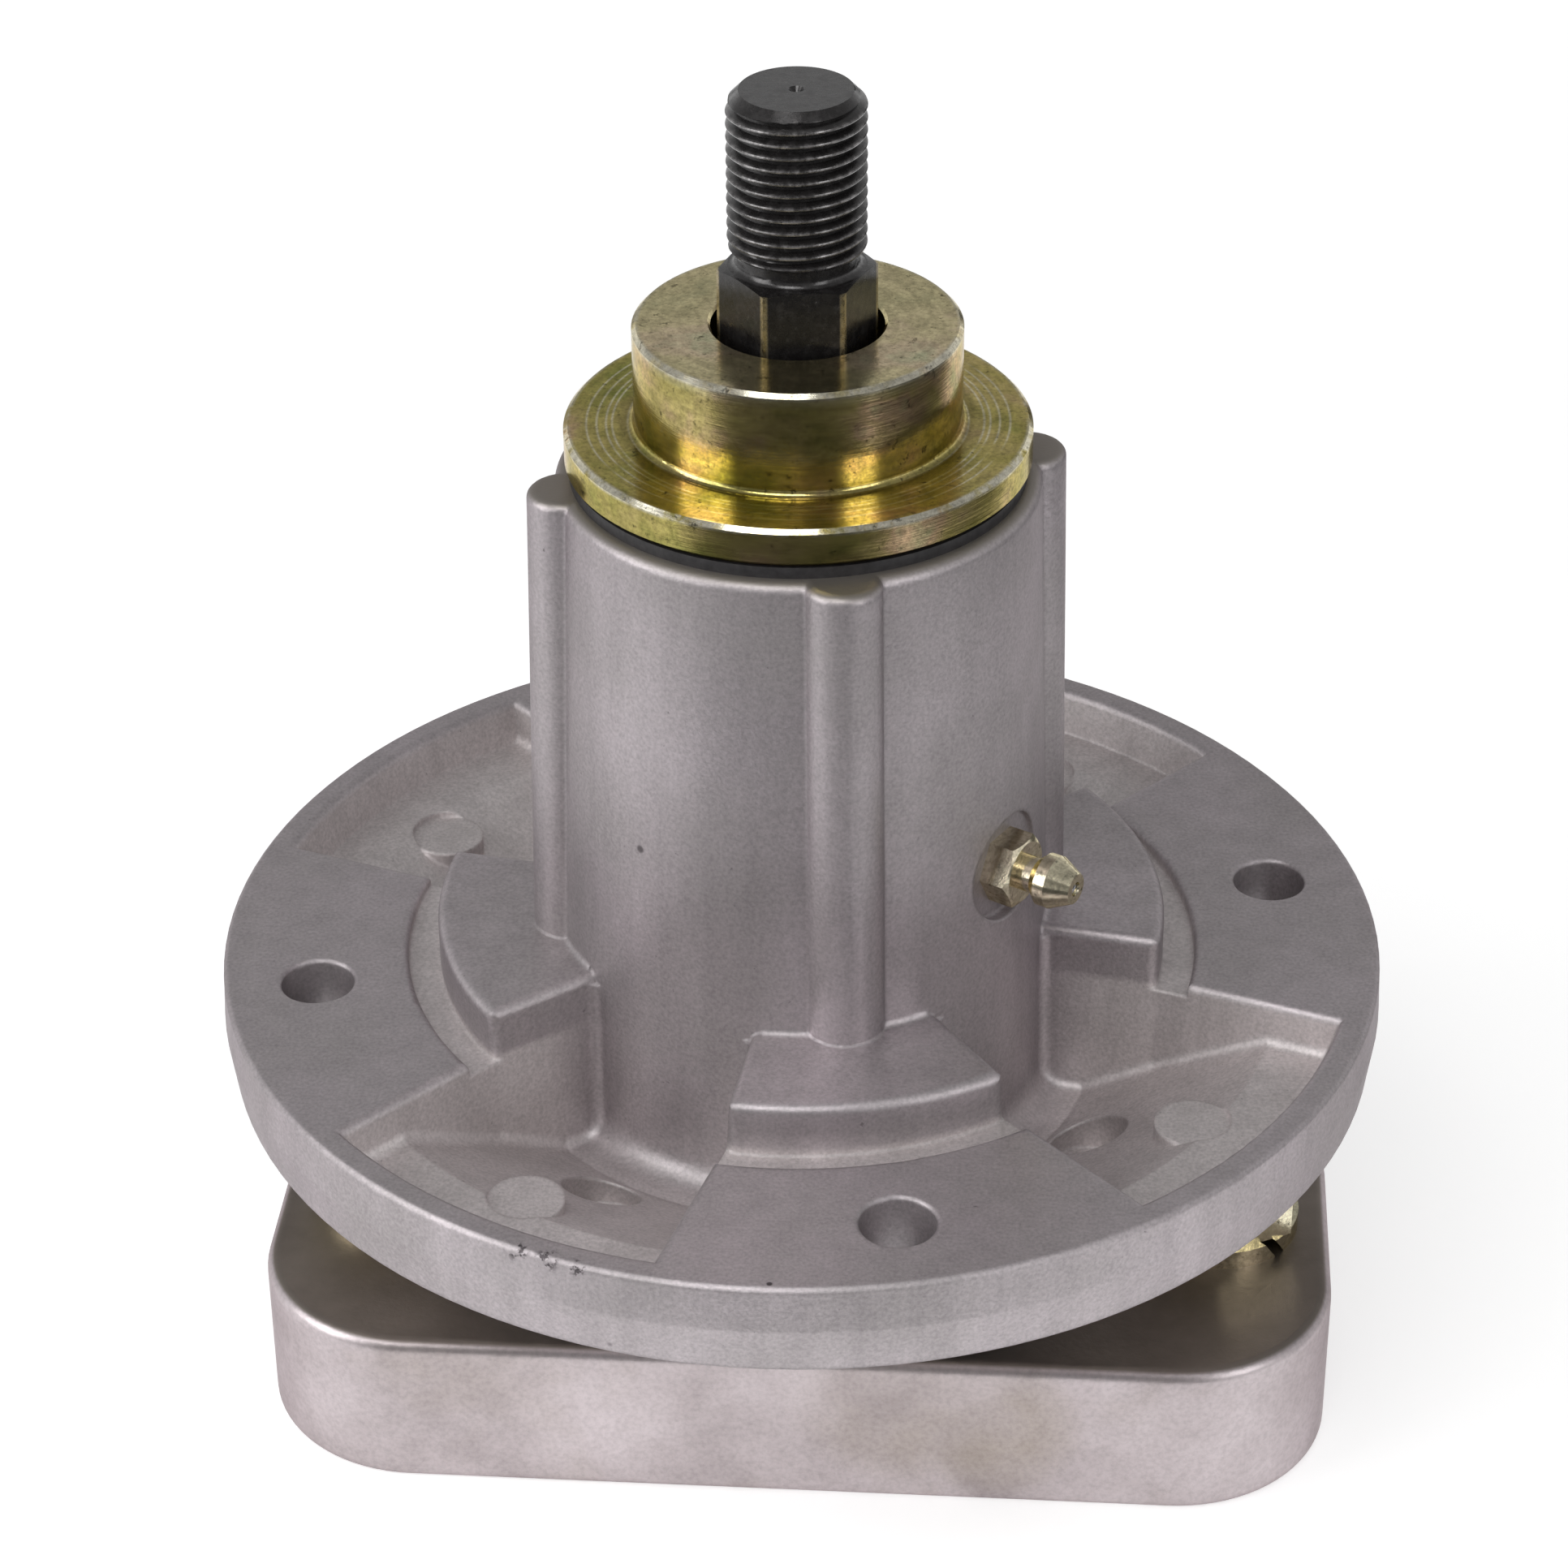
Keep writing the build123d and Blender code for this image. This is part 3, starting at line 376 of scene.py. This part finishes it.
def yellow_zinc():
    """Yellow-passivated zinc on turned steel: gold with green and rose clouds, lathe marks and fine pits,
    painted paler low down and on the boss's top as painted light, and painted darker in the fillet at the
    boss's foot as painted shade.
    """
    g = Graph.of_material("yellow_zinc")
    cloud = g.noise(70, 4, 0.6)
    fine = g.noise(1700, 4, 0.7)
    pits = g.noise(700, 4, 0.75)
    streaks = g.noise(900, 3, 0.6, g.turning_place(6.0))
    height = g.height()
    colour = g.ramp(
        cloud,
        (0.32, (0.27, 0.29, 0.07)),
        (0.44, (0.50, 0.43, 0.14)),
        (0.55, (0.60, 0.49, 0.20)),
        (0.63, (0.64, 0.45, 0.27)),
        (0.74, (0.38, 0.45, 0.22)),
    )
    # Painted light: the zinc parts low down and the boss's top are painted paler, for the light that falls
    # on them
    paler = g.length_ramp(height, 100, (40, 0.8), (50, 0.0), (82, 0.0), (83.8, 0.45))
    colour = g.mix(paler, colour, (0.92, 0.85, 0.66))
    worn = g.maths("MAXIMUM", g.edge_band(*SPACER_BOSS_EDGE), g.edge_band(*SPACER_FLANGE_EDGE))
    worn = g.maths("MULTIPLY", worn, g.ramp(g.noise(260, 4, 0.7), (0.36, 0.0), (0.52, 1.0)))
    colour = g.mix(worn, colour, (0.80, 0.76, 0.62))
    rings = g.most(*(g.circle_line(radius, 0.22) for radius in SPACER_RING_RADII))
    rings = g.maths("MULTIPLY", rings, g.length_ramp(height, 100, (72, 1.0), (73, 0.0)))
    rings = g.maths("MULTIPLY", rings, g.ramp(g.noise(120, 3, 0.6), (0.37, 0.0), (0.54, 0.7)))
    colour = g.mix(rings, colour, (0.85, 0.80, 0.62))
    # Painted shade: the fillet at the foot of the boss is painted darker
    fillet_shade = g.length_ramp(height, 100, (74.1, 0.6), (75.2, 0.0))
    fillet_shade = g.maths("MULTIPLY", g.circle_line(SPACER_FILLET_RADIUS, 1.4), fillet_shade)
    colour = g.mix(fillet_shade, colour, (0.20, 0.16, 0.06))
    colour = g.mix(0.5, colour, g.ramp(streaks, (0.35, 0.55), (0.65, 1.2)), "MULTIPLY")
    colour = g.mix(0.5, colour, g.ramp(fine, (0.36, 0.5), (0.5, 1.0), (0.66, 1.4)), "MULTIPLY")
    colour = g.mix(1.0, colour, g.ramp(pits, (0.31, 0.25), (0.40, 1.0)), "MULTIPLY")
    roughness = g.ramp(fine, (0.3, 0.24), (0.7, 0.12))
    normal = g.bump(g.noise(3200, 2, 0.6, g.turning_place()), 0.2, 0.00005)
    normal = g.bump(pits, 0.15, 0.00008, normal)
    g.turned_gloss(0.35)
    g.shader.inputs["Specular Tint"].default_value = (0.8, 0.75, 0.6, 1.0)
    g.shader.inputs["Coat Weight"].default_value = 0.1
    g.shader.inputs["Coat Roughness"].default_value = 0.1
    return g.finish(colour, roughness, normal)


def black_oxide():
    """Black oxide on turned steel with a thin film of oil, its thread crests worn lighter with a painted
    glint, a painted gold reflection on the hex's corners and painted shade in the centre hole.
    """
    g = Graph.of_material("black_oxide_steel")
    wear = g.noise(900, 5, 0.75)
    height = g.height()
    radius = g.radius()
    dark, middle, bare = (0.022, 0.02, 0.02), (0.045, 0.042, 0.042), (0.24, 0.23, 0.22)
    colour = g.ramp(wear, (0.5, dark), (0.66, middle), (0.78, bare))
    # Thread crests painted lighter: partly wear, partly a painted glint
    crest = g.length_ramp(radius, 10, (7.65, 0.0), (7.95, 1.0))
    crest = g.maths("MULTIPLY", g.length_ramp(height, 200, (92.8, 0.0), (94.0, 1.0)), crest)
    crest = g.maths("MULTIPLY", crest, g.ramp(wear, (0.42, 0.1), (0.62, 0.9)))
    colour = g.mix(crest, colour, (0.22, 0.21, 0.21))
    # Painted shade: the centre hole is painted near black, and a faint turned ring round it is darkened too
    turned = g.maths("MULTIPLY", g.circle_line(CENTRE_MARK_RADIUS, 0.25), 0.35)
    colour = g.mix(g.most(g.spot(CENTRE_MARK, 0.8), turned), colour, (0.008, 0.008, 0.008))
    # Painted reflection: the hex's corners are painted gold and more metallic, for the spacer's gold seen in
    # them, broken up by noise
    corner = g.length_ramp(radius, 10, (8.95, 0.0), (9.1, 1.0))
    corner = g.maths("MULTIPLY", corner, g.length_ramp(height, 100, (70, 0.0), (71, 1.0)))
    corner = g.maths("MULTIPLY", corner, g.ramp(wear, (0.38, 0.4), (0.5, 1.0)))
    colour = g.mix(corner, colour, (0.55, 0.46, 0.28))
    roughness = g.ramp(g.noise(700, 4, 0.7), (0.38, 0.42), (0.6, 0.18))
    normal = g.bump(wear, 0.25, 0.0001)
    g.shader.inputs["Coat Weight"].default_value = 0.6
    g.shader.inputs["Coat Roughness"].default_value = 0.2
    return g.finish(colour, roughness, normal, g.mix(corner, grey(0.6), grey(1.0)))


def blasted_steel():
    """Blasted steel: light pinkish sides with brownish stains, and its top painted dark as painted shade
    under the housing's flange.
    """
    g = Graph.of_material("blasted_steel")
    mottle = g.noise(38, 6, 0.62)
    stain = g.noise(24, 4, 0.55)
    grain = g.noise(1400, 3, 0.65)
    top = upward(g)
    colour = g.ramp(
        mottle,
        (0.34, (0.39, 0.345, 0.35)),
        (0.5, (0.51, 0.455, 0.465)),
        (0.66, (0.60, 0.54, 0.555)),
    )
    smear = g.most(*(g.spot(place, reach) for place, reach in CARRIER_STAINS))
    smear = g.ramp(smear, (0.1, 0.0), (0.6, 0.7))
    smear = g.maths("MULTIPLY", smear, g.ramp(stain, (0.38, 0.2), (0.56, 1.0)))
    smear = g.most(smear, g.ramp(stain, (0.56, 0.0), (0.7, 0.4)))
    colour = g.mix(smear, colour, (0.33, 0.28, 0.22))
    colour = g.mix(0.5, colour, g.ramp(grain, (0.3, 0.75), (0.6, 1.08)), "MULTIPLY")
    # Painted shade: faces that look up are painted dark, for the shade under the housing's flange
    top_shade_colour = g.ramp(mottle, (0.35, (0.20, 0.175, 0.155)), (0.65, (0.30, 0.265, 0.235)))
    colour = g.mix(top, colour, top_shade_colour)
    roughness = g.mix(top, g.ramp(mottle, (0.3, 0.46), (0.7, 0.36)), grey(0.45))
    normal = g.bump(grain, 0.3, 0.00012)
    g.shader.inputs["Specular Tint"].default_value = (0.6, 0.56, 0.57, 1.0)
    return g.finish(colour, roughness, normal)


def upward(g):
    """1 on faces that look up, 0 on the rest."""
    _, _, up = g.split(g.coordinates["Normal"])
    return g.ramp(up, (0.75, 0.0), (0.9, 1.0))


def black_rubber():
    """Matt black rubber with a faint moulded grain."""
    g = Graph.of_material("black_rubber")
    grain = g.noise(900, 4, 0.6)
    colour = g.ramp(grain, (0.3, (0.016, 0.015, 0.016)), (0.7, (0.034, 0.032, 0.034)))
    return g.finish(colour, g.ramp(grain, (0.3, 0.55), (0.7, 0.45)), g.bump(grain, 0.3, 0.0001), 0.0)


def turned_steel(name, dark, light, rough):
    """Turned or ground steel with marks round the shaft's axis."""
    g = Graph.of_material(name)
    marks = g.noise(4000, 2, 0.6, g.turning_place())
    cloud = g.noise(90, 3, 0.5)
    colour = g.ramp(cloud, (0.3, dark), (0.7, light))
    roughness = g.ramp(marks, (0.3, rough), (0.7, rough * 1.5))
    return g.finish(colour, roughness, g.bump(marks, 0.2, 0.00005))


def dark_sheet():
    """Dark pressed sheet steel, oily, with a few scuffs."""
    g = Graph.of_material("dark_sheet_steel")
    scuff = g.noise(240, 6, 0.7)
    colour = g.ramp(scuff, (0.4, (0.045, 0.045, 0.05)), (0.62, (0.09, 0.09, 0.095)), (0.75, (0.2, 0.2, 0.2)))
    return g.finish(colour, g.ramp(scuff, (0.3, 0.45), (0.7, 0.3)), g.bump(scuff, 0.15, 0.0001))


def cage_nylon():
    """Cream moulded nylon of the bearing cages."""
    g = Graph.of_material("cage_plastic")
    grain = g.noise(500, 3, 0.5)
    colour = g.ramp(grain, (0.3, (0.62, 0.54, 0.36)), (0.7, (0.72, 0.64, 0.45)))
    return g.finish(colour, 0.5, g.bump(grain, 0.15, 0.0001), 0.0)


MATERIALS = {
    "die_cast_aluminium": die_cast_aluminium,
    "yellow_zinc": yellow_zinc,
    "black_oxide_steel": black_oxide,
    "blasted_steel": blasted_steel,
    "black_rubber": black_rubber,
    "dark_sheet_steel": dark_sheet,
    "cage_plastic": cage_nylon,
    "bearing_steel": lambda: turned_steel("bearing_steel", (0.5, 0.5, 0.52), (0.62, 0.62, 0.64), 0.14),
    "plain_steel": lambda: turned_steel("plain_steel", (0.36, 0.36, 0.37), (0.48, 0.48, 0.49), 0.3),
    "spring_steel": lambda: turned_steel("spring_steel", (0.14, 0.15, 0.17), (0.22, 0.23, 0.25), 0.3),
    "zinc_steel": lambda: turned_steel("zinc_steel", (0.6, 0.61, 0.63), (0.74, 0.75, 0.77), 0.22),
}


def dress_nodes():
    """Gives every node the material of its slot, and returns the materials by slot."""
    made = {name: make() for name, make in MATERIALS.items()}
    for entry in frame["record"]["subparts"]:
        node = frame["nodes"][entry["node"]]
        node.data.materials.clear()
        node.data.materials.append(made[entry["material_slot"]])
    return made


def thread_radius(turn, height, bottom, top):
    """Radius of the thread's surface at a part of a turn and a height, run out at its foot and end."""
    phase = turn % 1.0
    rise = min(phase, 1.0 - phase) * 2.0
    flank = min(max((rise - THREAD_ROOT_SHARE) / THREAD_FLANK_SHARE, 0.0), 1.0)
    depth = THREAD_DEPTH * min((height - bottom) / THREAD_RUN_OUT, 1.0)
    radius = THREAD_RADIUS - depth * (1.0 - flank)
    foot = THREAD_RADIUS - THREAD_FOOT_CHAMFER + height - bottom
    end = THREAD_RADIUS - THREAD_END_CHAMFER + top - height
    return min(radius, foot, end)


def plain_stretch(shaft, bottom):
    """Faces of the plain threaded stretch: all above its foot but the level ones and the centre hole's."""
    inner = THREAD_RADIUS - THREAD_END_CHAMFER - SAME_RADIUS
    plain = []
    for face in shaft.faces:
        low = min(vert.co.z for vert in face.verts)
        high = max(vert.co.z for vert in face.verts)
        near = min(vert.co.xy.length for vert in face.verts)
        if low > bottom - SAME_HEIGHT and near > inner and high - low >= SAME_HEIGHT:
            plain.append(face)
    return plain


def thread_rings(shaft, bottom, top):
    """Rows of the thread's vertices, which climb one pitch a turn and are cut off at its foot and end."""
    rows = int(THREAD_LENGTH / THREAD_PITCH * THREAD_ROWS_PER_PITCH) + THREAD_ROWS_PER_PITCH
    step = THREAD_PITCH / THREAD_ROWS_PER_PITCH
    rings = []
    for row in range(rows + 1):
        ring = []
        for index in range(THREAD_STEPS_PER_TURN + 1):
            part = index / THREAD_STEPS_PER_TURN
            angle = 2 * math.pi * part
            raw = bottom + (row - THREAD_ROWS_PER_PITCH) * step + part * THREAD_PITCH
            height = min(max(raw, bottom), top)
            turn = (height - bottom) / THREAD_PITCH - part
            radius = thread_radius(turn, height, bottom, top)
            ring.append(shaft.verts.new((radius * math.cos(angle), radius * math.sin(angle), height)))
        rings.append(ring)
    return rings


def threaded_shaft(material):
    """The shaft's own surfaces, with its plain threaded stretch redrawn as a real thread."""
    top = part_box("spindle_shaft")[1].z
    bottom = top - THREAD_LENGTH
    shaft = bmesh.new()
    shaft.from_mesh(frame["nodes"]["spindle_shaft"].data)
    bmesh.ops.delete(shaft, geom=plain_stretch(shaft, bottom), context="FACES")
    rings = thread_rings(shaft, bottom, top)
    for lower, upper in zip(rings, rings[1:]):
        for index in range(THREAD_STEPS_PER_TURN):
            shaft.faces.new((lower[index], lower[index + 1], upper[index + 1], upper[index]))
    thread = [vert for ring in rings for vert in ring]
    bmesh.ops.remove_doubles(shaft, verts=thread, dist=SAME_POINT)
    for face in shaft.faces:
        face.smooth = True
    mesh = bpy.data.meshes.new("threaded_shaft")
    shaft.to_mesh(mesh)
    shaft.free()
    loaded_normals = mesh.attributes.get("custom_normal")
    if loaded_normals:
        mesh.attributes.remove(loaded_normals)
    mesh.set_sharp_from_angle(angle=math.radians(SHARP_ANGLE))
    mesh.materials.clear()
    mesh.materials.append(material)
    piece = bpy.data.objects.new("threaded_shaft", mesh)
    bpy.context.scene.collection.objects.link(piece)
    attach(piece, "rotor")
    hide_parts("spindle_shaft")


def add_camera():
    """Camera where the photograph was taken from."""
    data = bpy.data.cameras.new("photo_camera")
    data.sensor_width = SENSOR_WIDTH_MM
    data.lens = SENSOR_WIDTH_MM * FOCAL_PIXELS / PHOTO_WIDTH
    camera = bpy.data.objects.new("photo_camera", data)
    bpy.context.scene.collection.objects.link(camera)
    turn = Matrix.Rotation(math.radians(CAMERA_AZIMUTH), 4, "Z")
    tilt = Matrix.Rotation(math.radians(90 - CAMERA_ELEVATION), 4, "X")
    roll = Matrix.Rotation(math.radians(CAMERA_ROLL), 4, "Z")
    back = turn @ tilt @ Vector((0, 0, CAMERA_DISTANCE))
    camera.matrix_world = Matrix.Translation(CAMERA_TARGET + back) @ turn @ tilt @ roll
    bpy.context.scene.camera = camera


def add_light(name, place, size, power):
    """Square soft light that looks at the origin."""
    data = bpy.data.lights.new(name, "AREA")
    data.shape = "RECTANGLE"
    data.size, data.size_y = size
    data.energy = power
    light = bpy.data.objects.new(name, data)
    light.location = place
    light.rotation_euler = (-Vector(place)).to_track_quat("-Z", "Y").to_euler()
    bpy.context.scene.collection.objects.link(light)


def add_flat(name, level, *rectangles):
    """Flat stage piece of upright rectangles, each given by its lowest and highest x and y."""
    corners, faces = [], []
    for low_x, high_x, low_y, high_y in rectangles:
        faces.append(tuple(range(len(corners), len(corners) + 4)))
        outline = ((low_x, low_y), (high_x, low_y), (high_x, high_y), (low_x, high_y))
        corners += [(x, y, level) for x, y in outline]
    mesh = bpy.data.meshes.new(name)
    mesh.from_pydata(corners, [], faces)
    piece = bpy.data.objects.new(name, mesh)
    bpy.context.scene.collection.objects.link(piece)
    return piece


def add_studio():
    """Pale floor, soft lamps on both sides of the camera and a pale sweep that darkens upwards."""
    for name, place, size, power in LAMPS:
        add_light(name, place, size, power)
    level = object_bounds()[0][2]
    floor = add_flat("floor", level, (-FLOOR_REACH, FLOOR_REACH, -FLOOR_REACH, FLOOR_REACH))
    floor.data.materials.append(floor_material())
    add_cards(level + CARD_LIFT)
    add_world()


def add_cards(level):
    """Dark cards in front and on the right, which only the metal's reflections show: painted shade in the
    reflections, for the dark room on the camera's side.
    """
    front = (-FLOOR_REACH, FLOOR_REACH, -FLOOR_REACH, -CARD_FRONT)
    right = (CARD_RIGHT, FLOOR_REACH, -CARD_FRONT, FLOOR_REACH)
    cards = add_flat("dark_cards", level, front, right)
    cards.visible_camera = False
    cards.visible_diffuse = False
    cards.visible_shadow = False
    g = Graph.of_material("dark_card")
    cards.data.materials.append(g.finish(g.ramp(g.noise(30), (0.3, 0.04), (0.7, 0.05)), 0.9, None, 0.0))


def add_world():
    """Pale sweep, white at the horizon, darker above and towards the camera's side."""
    world = bpy.data.worlds.new("studio")
    bpy.context.scene.world = world
    world.use_nodes = True
    g = Graph(world.node_tree)
    background = g.tree.nodes["Background"]
    _, y, z = g.split(g.coordinates["Generated"])
    sweep = g.ramp(g.maths("MULTIPLY_ADD", z, 0.5, 0.5), *SWEEP)
    front = g.ramp(g.maths("MULTIPLY", y, -1.0), *SWEEP_FRONT)
    g.plug(g.mix(1.0, sweep, front, "MULTIPLY"), background.inputs["Color"])
    background.inputs["Strength"].default_value = 1.0


def floor_material():
    """Pale floor that keeps the object's shadow, with a soft pool of white around it and white far off."""
    g = Graph.of_material("floor")
    path = g.add("ShaderNodeLightPath").outputs
    mirrored = g.maths("ADD", path["Is Glossy Ray"], path["Is Transmission Ray"], clamp=True)
    x, y, _ = g.split(g.place)
    across = g.maths("DIVIDE", x, POOL_HALF_WIDTH)
    along = g.maths("DIVIDE", g.maths("SUBTRACT", y, POOL_MIDDLE), POOL_HALF_LENGTH)
    pool = g.ramp(g.maths("MULTIPLY", g.diagonal(across, along), 0.5), (0.52, 1.0), (0.65, 0.0))
    far = g.length_ramp(g.radius(), 2000, (300, FLOOR_GLOW), (1200, 1.0))
    seen = g.maths("MULTIPLY", path["Is Camera Ray"], far)
    glow = g.maths("MULTIPLY_ADD", g.maths("MULTIPLY", mirrored, pool), FLOOR_GLOW, seen)
    g.plug(grey(1.0), g.shader.inputs["Emission Color"])
    g.plug(glow, g.shader.inputs["Emission Strength"])
    return g.finish((0.8, 0.8, 0.8), g.ramp(g.noise(30), (0.3, 0.85), (0.7, 0.95)), None, 0.0)


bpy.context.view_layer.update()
materials = dress_nodes()
threaded_shaft(materials["black_oxide_steel"])
add_camera()
add_studio()
bpy.context.scene.view_settings.view_transform = "Standard"
